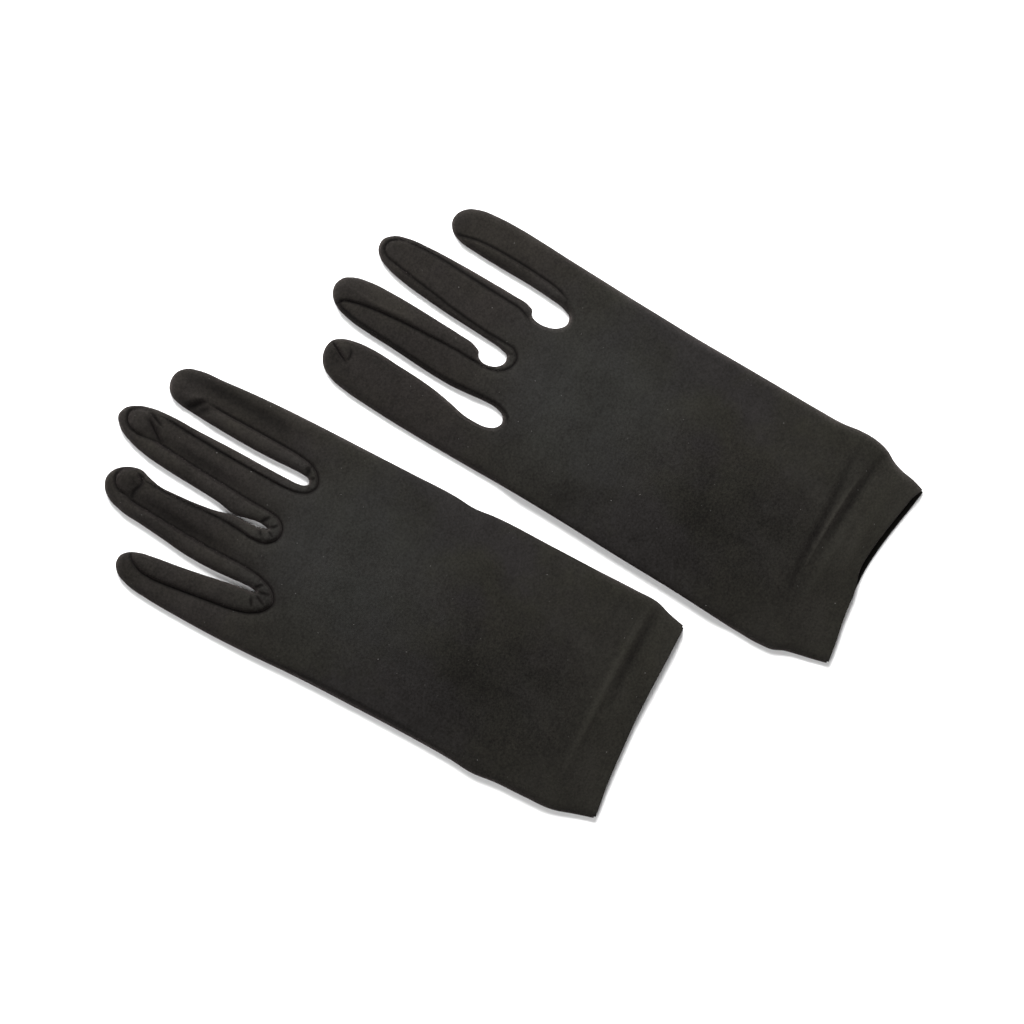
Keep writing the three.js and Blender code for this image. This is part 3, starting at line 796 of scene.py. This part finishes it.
def thumb_surface(glove):
    """The thumb, lying flat between the table and the palm, drawn from its root along its length."""
    half, end = THUMB_HALF, THUMB_LENGTH
    outline, _ = curve([(-half, 0), (-11.6, 20), (-10.6, 38), (-9.8, 50), (-8.2, 57), (-4.6, end - 1),
                        (0, end), (4.6, end - 1), (8.2, 57), (9.8, 50), (10.6, 38), (11.6, 20), (half, 0),
                        (8.8, -8.8), (0, -half), (-8.8, -8.8), (-half, 0)], 1.2)
    outline = outline[:-1]
    turn = np.arange(0, 2 * np.pi, 0.13)
    hole = np.column_stack([THUMB_MOUTH[0] * np.cos(turn), THUMB_MOUTH[1] * np.sin(turn)])
    top, top_tri = triangulate(outline, [], [hole], UNDER_FILL, THUMB_EDGE_ROWS, UNDER_SEAM_ROWS)
    low, low_tri = triangulate(outline, [], [], UNDER_FILL, THUMB_EDGE_ROWS, UNDER_SEAM_ROWS)
    ring = np.vstack([outline, outline[:1]])
    xyz = []
    for p, full in ((top, THUMB_HEIGHT), (low, 0.2)):
        share = np.clip(distance(p, ring)[0] / THUMB_EDGE_ROLL, 0, 1)
        edge = (THUMB_HEIGHT + 0.2) / 2
        xyz.append(np.column_stack([p, edge + (full - edge) * np.sqrt(1 - (1 - share) ** 2)]))
    tri, is_top = joined(top, top_tri, low, low_tri, len(outline))
    points = np.vstack([xyz[0], xyz[1][len(outline):]])
    turned = -THUMB_TUCK * glove.facts["to_index"]
    along = np.array([math.sin(turned), math.cos(turned), 0])
    across = np.array([math.cos(turned), -math.sin(turned), 0])
    root = np.array([glove.facts["thumb_root"][0] - glove.facts["shift"], glove.facts["thumb_root"][1], 0])
    placed = root + points @ np.array([across, along, (0, 0, 1)])
    return Surface(glove, placed, placed, placed * MM, np.zeros(len(placed)), tri, {"top": is_top})


# ---- the pieces
RANK = ("little", "ring", "middle", "index")


def fourchette(finger, towards):
    """The CAD's name for the strip of a finger that faces another one."""
    if finger in ("little", "index"):
        return f"{finger}_fourchette"
    side = "outer" if RANK.index(towards) < RANK.index(finger) else "inner"
    return f"{finger}_{side}_fourchette"


def build(facts):
    glove = Glove(facts)
    g, body = glove.name, f"{glove.name}_glove"
    surface = glove_surface(glove)
    where = surface.place
    no_band, palm = where["band"] == 3, where["finger"] == 4
    edge = np.linalg.norm(np.diff(glove.wrist, axis=0), axis=1).sum() * MM

    def piece(name, chosen, slot, *nodes):
        made, area = cloth(f"{g}_{name}", surface, chosen, KNIT[slot])
        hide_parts(*(f"{g}_{node}" for node in nodes))
        return made, area

    def bend(made):
        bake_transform(made)

    on_top, below = where["top"], ~where["top"]
    hand = palm & no_band
    back, back_area = piece("back_cloth", on_top & hand, "trank_knit", "trank_back", "trank_fold")
    under, under_area = piece("palm_cloth", below & hand, "trank_knit", "trank_palm", "side_seam")
    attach(back, body)
    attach(under, body)

    for name, is_top, node in (("back_hem_cloth", True, "hem_back"), ("palm_hem_cloth", False, "hem_palm")):
        # The palm's hem gets painted shade where the mouth shows it, the back's hem none.
        dark = 0.0 if is_top else HEM_SHADE
        made, area = tube_from(f"{g}_{name}", glove, wrist_hem(glove, is_top), KNIT["hem_knit"], dark)
        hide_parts(f"{g}_{node}")
        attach(made, body)

    for i, name in enumerate(facts["fingers"]):
        mine = where["finger"] == i
        of_trank = mine & no_band
        fold = ["index_fold"] if name == "index" else []
        seam = ["little_side_seam"] if name == "little" else []
        low, low_area = piece(f"{name}_palm_cloth", below & of_trank, "trank_knit", f"{name}_palm", *seam)
        top, top_area = piece(f"{name}_back_cloth", on_top & of_trank, "trank_knit", f"{name}_back", *fold)
        bend(low)
        bend(top)
        for band in (i - 1, i):
            if not 0 <= band <= 2:
                continue
            facing = facts["fingers"][band + 1 if band == i else band]
            node = fourchette(name, facing)
            strip, area = piece(f"{node}_cloth", mine & (where["band"] == band), "fourchette_knit", node)
            bend(strip)

    for band in range(3):
        pair = sorted(facts["fingers"][band:band + 2], key=RANK.index)
        name = f"crotch_{pair[0]}_{pair[1]}"
        strip, area = piece(f"{name}_cloth", palm & (where["band"] == band), "fourchette_knit", name)
        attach(strip, body)

    thumb = thumb_surface(glove)
    for name, chosen, nodes in (
        ("thumb_palm_cloth", ~thumb.place["top"], ("thumb_palm", "thumb_seam_strip")),
        ("thumb_back_cloth", thumb.place["top"], ("thumb_back", "thumb_fold")),
    ):
        made, area = cloth(f"{g}_{name}", thumb, chosen, KNIT["thumb_knit"])
        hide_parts(*(f"{g}_{node}" for node in nodes))
        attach(made, f"{g}_thumb")


# ---- materials
class Nodes:
    """Short calls for making and joining a material's nodes."""

    def __init__(self, name):
        self.material = bpy.data.materials.new(name)
        self.material.use_nodes = True
        self.tree = self.material.node_tree
        self.shader = self.tree.nodes["Principled BSDF"]

    def add(self, kind, **facts):
        node = self.tree.nodes.new(kind)
        for key, value in facts.items():
            setattr(node, key, value)
        return node

    def join(self, source, target):
        self.tree.links.new(source, target)

    def put(self, socket, value):
        if isinstance(value, (int, float, tuple)):
            socket.default_value = value
        else:
            self.join(value, socket)

    def sum(self, operation, *values):
        node = self.add("ShaderNodeMath", operation=operation)
        for socket, value in zip(node.inputs, values):
            self.put(socket, value)
        return node.outputs[0]

    def noise(self, vector, scale, detail=3.0, roughness=0.6):
        node = self.add("ShaderNodeTexNoise")
        self.join(vector, node.inputs["Vector"])
        node.inputs["Scale"].default_value = scale
        node.inputs["Detail"].default_value = detail
        node.inputs["Roughness"].default_value = roughness
        return node.outputs["Fac"]

    def between(self, factor, low, high, to_low=0.0, to_high=1.0, kind="LINEAR"):
        node = self.add("ShaderNodeMapRange", interpolation_type=kind)
        for name, value in (("From Min", low), ("From Max", high), ("To Min", to_low), ("To Max", to_high)):
            node.inputs[name].default_value = value
        self.join(factor, node.inputs["Value"])
        return node.outputs["Result"]

    def near(self, vector, place, inner, outer):
        """1 within the inner distance of a place, and falling smoothly to 0 at the outer one."""
        far = self.add("ShaderNodeVectorMath", operation="DISTANCE")
        self.join(vector, far.inputs[0])
        far.inputs[1].default_value = place
        return self.between(far.outputs["Value"], inner, outer, 1, 0, "SMOOTHSTEP")

    def mix(self, factor, a, b):
        node = self.add("ShaderNodeMix", data_type="RGBA")
        self.put(node.inputs["Factor"], factor)
        self.put(node.inputs["A"], a)
        self.put(node.inputs["B"], b)
        return node.outputs["Result"]


WALE = 0.00062  # width of a column of stitches
COURSE = 0.00046  # height of a row of stitches
BLACK = (0.0030, 0.0027, 0.0023, 1)
BROWN = (0.0146, 0.0126, 0.0110, 1)
OLIVE = (0.0139, 0.0134, 0.0103, 1)
SLATE = (0.0130, 0.0121, 0.0121, 1)
PAINTED_LIGHT_COOL = (0.0145, 0.0147, 0.0137, 1)
PAINTED_SHADE_BLACK = (0.0011, 0.0009, 0.0008, 1)
LINT = (0.3, 0.29, 0.28, 1)
KNUCKLES = (0.002, 0.126, 0)  # where the cloth is painted lighter and cooler, as painted light, in the glove's drawing
HEEL = (-0.014, 0.058, 0)  # and where it is painted darkest, as painted shade


def knit(name, tone=1.0, nap=0.5):
    """Matt black knit: columns of small V stitches, a soft nap, paler patches of wear and a few specks of
    lint, with painted shade in seams, creases and at the heel, and painted light over the knuckles, along
    ridges and towards larger x.
    A noise's scale is in waves for each metre: 2600 is fuzz of 0.4 mm, and 16 is patches of 6 cm."""
    n = Nodes(name)
    drawn = n.add("ShaderNodeAttribute", attribute_name="drawn").outputs["Vector"]
    crevice = n.add("ShaderNodeAttribute", attribute_name="crevice").outputs["Fac"]
    split = n.add("ShaderNodeSeparateXYZ")
    n.join(drawn, split.inputs[0])
    wobble = n.between(n.noise(drawn, 900, 1), 0, 1, -0.35, 0.35)
    column = n.sum("ADD", n.sum("DIVIDE", split.outputs["X"], WALE), wobble)
    leg = n.sum("ABSOLUTE", n.sum("SUBTRACT", n.sum("FRACT", column), 0.5))
    row = n.sum("ADD", n.sum("DIVIDE", split.outputs["Y"], COURSE), n.sum("MULTIPLY", leg, 1.3))
    loop = n.sum("SINE", n.sum("MULTIPLY", row, 2 * math.pi))
    rib = n.sum("SINE", n.sum("MULTIPLY", leg, 2 * math.pi))
    stitch = n.sum("MULTIPLY_ADD", loop, 0.32, rib)
    fuzz = n.noise(drawn, 2600, 4, 0.75)
    grain = n.noise(drawn, 1150, 3, 0.7)
    patch = n.noise(drawn, 75, 4, 0.6)
    broad = n.noise(drawn, 16, 2, 0.5)
    wear_and_painted_shading = n.sum("ADD", n.between(grain, 0.32, 0.7, 0, 0.62), n.between(patch, 0.3, 0.7, 0, 0.3))
    wear_and_painted_shading = n.sum("ADD", wear_and_painted_shading, n.between(stitch, -1, 1.3, -0.1, 0.18))
    wear_and_painted_shading = n.sum("ADD", wear_and_painted_shading, n.between(broad, 0.35, 0.65, -0.07, 0.07))
    # Painted light: lighter around the knuckles.
    knuckles = n.near(drawn, KNUCKLES, 0.012, 0.058)
    wear_and_painted_shading = n.sum("MULTIPLY_ADD", knuckles, 0.16, wear_and_painted_shading)
    # Painted shade: darker around the heel.
    wear_and_painted_shading = n.sum("MULTIPLY_ADD", n.near(drawn, HEEL, 0.008, 0.055), -0.24, wear_and_painted_shading)
    # Lighter from 22 mm in towards the wrist edge.
    wear_and_painted_shading = n.sum("ADD", wear_and_painted_shading, n.between(split.outputs["Y"], 0.022, 0.012, 0, 0.06))
    # Painted light and shade: lighter towards larger x, darker towards smaller x.
    wear_and_painted_shading = n.sum("ADD", wear_and_painted_shading, n.between(split.outputs["X"], -0.04, 0.04, -0.06, 0.08))
    # Painted shade in seams and creases, painted light along ridges.
    wear_and_painted_shading = n.sum("MULTIPLY_ADD", crevice, -0.7, wear_and_painted_shading)
    slate = n.between(n.noise(drawn, 34, 3, 0.55), 0.42, 0.58)
    slate = n.sum("MULTIPLY", slate, n.between(split.outputs["Y"], 0.02, 0.07, 0.2, 1))
    faded_and_lit = n.mix(slate, OLIVE, SLATE)
    faded_and_lit = n.mix(n.between(split.outputs["Y"], 0.135, 0.17, 0.15, 0.7), faded_and_lit, BROWN)
    # Painted light: a cooler colour around the knuckles.
    faded_and_lit = n.mix(n.sum("MULTIPLY", knuckles, 0.8), faded_and_lit, PAINTED_LIGHT_COOL)
    colour = n.mix(n.sum("MULTIPLY", wear_and_painted_shading, tone), BLACK, faded_and_lit)
    # Painted shade: seams and creases are mixed towards near black.
    colour = n.mix(n.sum("MULTIPLY", crevice, 0.85), colour, PAINTED_SHADE_BLACK)
    speck = n.add("ShaderNodeTexVoronoi", voronoi_dimensions="2D", feature="F1")
    n.join(drawn, speck.inputs["Vector"])
    speck.inputs["Scale"].default_value = 120
    bits = n.add("ShaderNodeSeparateColor")
    n.join(speck.outputs["Color"], bits.inputs[0])
    size = n.between(bits.outputs[0], 0.55, 1, 0.0, 0.016)
    near = n.sum("LESS_THAN", speck.outputs["Distance"], size)
    n.join(n.mix(n.sum("MULTIPLY", near, n.between(bits.outputs[1], 0, 1, 0.08, 0.5)), colour, LINT),
           n.shader.inputs["Base Color"])
    n.join(n.between(fuzz, 0.3, 0.7, 0.86, 1.0), n.shader.inputs["Roughness"])
    n.shader.inputs["Specular IOR Level"].default_value = 0.06
    n.shader.inputs["Sheen Weight"].default_value = nap * 0.24
    n.shader.inputs["Sheen Roughness"].default_value = 0.42
    n.shader.inputs["Sheen Tint"].default_value = (0.72, 0.59, 0.57, 1)
    height = n.sum("ADD", n.sum("MULTIPLY", stitch, 0.5), n.sum("MULTIPLY", fuzz, 0.9))
    height = n.sum("MULTIPLY_ADD", grain, 1.1, height)
    bump = n.add("ShaderNodeBump")
    bump.inputs["Strength"].default_value = 0.75
    bump.inputs["Distance"].default_value = 0.00016
    n.join(height, bump.inputs["Height"])
    n.join(bump.outputs["Normal"], n.shader.inputs["Normal"])
    return n.material


KNIT = {
    "trank_knit": knit("trank_knit"),
    "fourchette_knit": knit("fourchette_knit", 1.06, 0.55),
    "hem_knit": knit("hem_knit", 0.94, 0.45),
    "thumb_knit": knit("thumb_knit", 0.97, 0.5),
}
for facts in GLOVES:
    build(facts)


# ---- table, light and camera
def table_top():
    mesh = bpy.data.meshes.new("table")
    half = 2.0
    corners = [(-half, -half, 0), (half, -half, 0), (half, half, 0), (-half, half, 0)]
    mesh.from_pydata(corners, [], [(0, 1, 2, 3)])
    n = Nodes("table_white")
    n.shader.inputs["Base Color"].default_value = (0.9, 0.9, 0.9, 1)
    n.shader.inputs["Roughness"].default_value = 0.6
    mesh.materials.append(n.material)
    table = link("table", mesh)


def soft_light(name, place, towards, size, power):
    light = bpy.data.lights.new(name, "AREA")
    light.shape = "SQUARE"
    light.size = size
    light.energy = power
    lamp = link(name, light)
    lamp.location = place
    lamp.rotation_euler = (Vector(towards) - Vector(place)).to_track_quat("-Z", "Y").to_euler()


CAMERA_HEIGHT = 1.4
SEEN_WIDTH = 0.3912  # of the gloves' level that the picture spans
FROM_WRIST = (-0.0480, 0.0806)  # the picture's middle from that of the left wrist edge, right and up
PICTURE_RIGHT = Vector((0.4779, -0.8784, 0))
PICTURE_UP = Vector((0.8784, 0.4779, 0))


def camera():
    """Straight above, turned so that the fingers point up and to the left."""
    middle = drawing_frame(LEFT)[2] + PICTURE_RIGHT * FROM_WRIST[0] + PICTURE_UP * FROM_WRIST[1]
    seen = link("camera", bpy.data.cameras.new("camera"))
    seen.data.sensor_width = 36
    seen.data.lens = 36 * CAMERA_HEIGHT / SEEN_WIDTH
    back = PICTURE_RIGHT.cross(PICTURE_UP)
    turned = Matrix((PICTURE_RIGHT, PICTURE_UP, back)).transposed().to_4x4()
    seen.matrix_world = Matrix.Translation(middle + Vector((0, 0, CAMERA_HEIGHT))) @ turned
    bpy.context.scene.camera = seen


table_top()
camera()
soft_light("key", PICTURE_UP * 0.76 - PICTURE_RIGHT * 0.08 + Vector((0, 0, 0.86)), (0, 0, 0), 0.55, 41)
soft_light("fill", PICTURE_UP * -0.5 + PICTURE_RIGHT * -0.5 + Vector((0, 0, 1.7)), (0, 0, 0), 1.6, 19)
world = bpy.data.worlds.new("studio")
world.use_nodes = True
world.node_tree.nodes["Background"].inputs["Color"].default_value = (1, 1, 1, 1)
world.node_tree.nodes["Background"].inputs["Strength"].default_value = 0.13
bpy.context.scene.world = world
bpy.context.scene.view_settings.view_transform = "Standard"
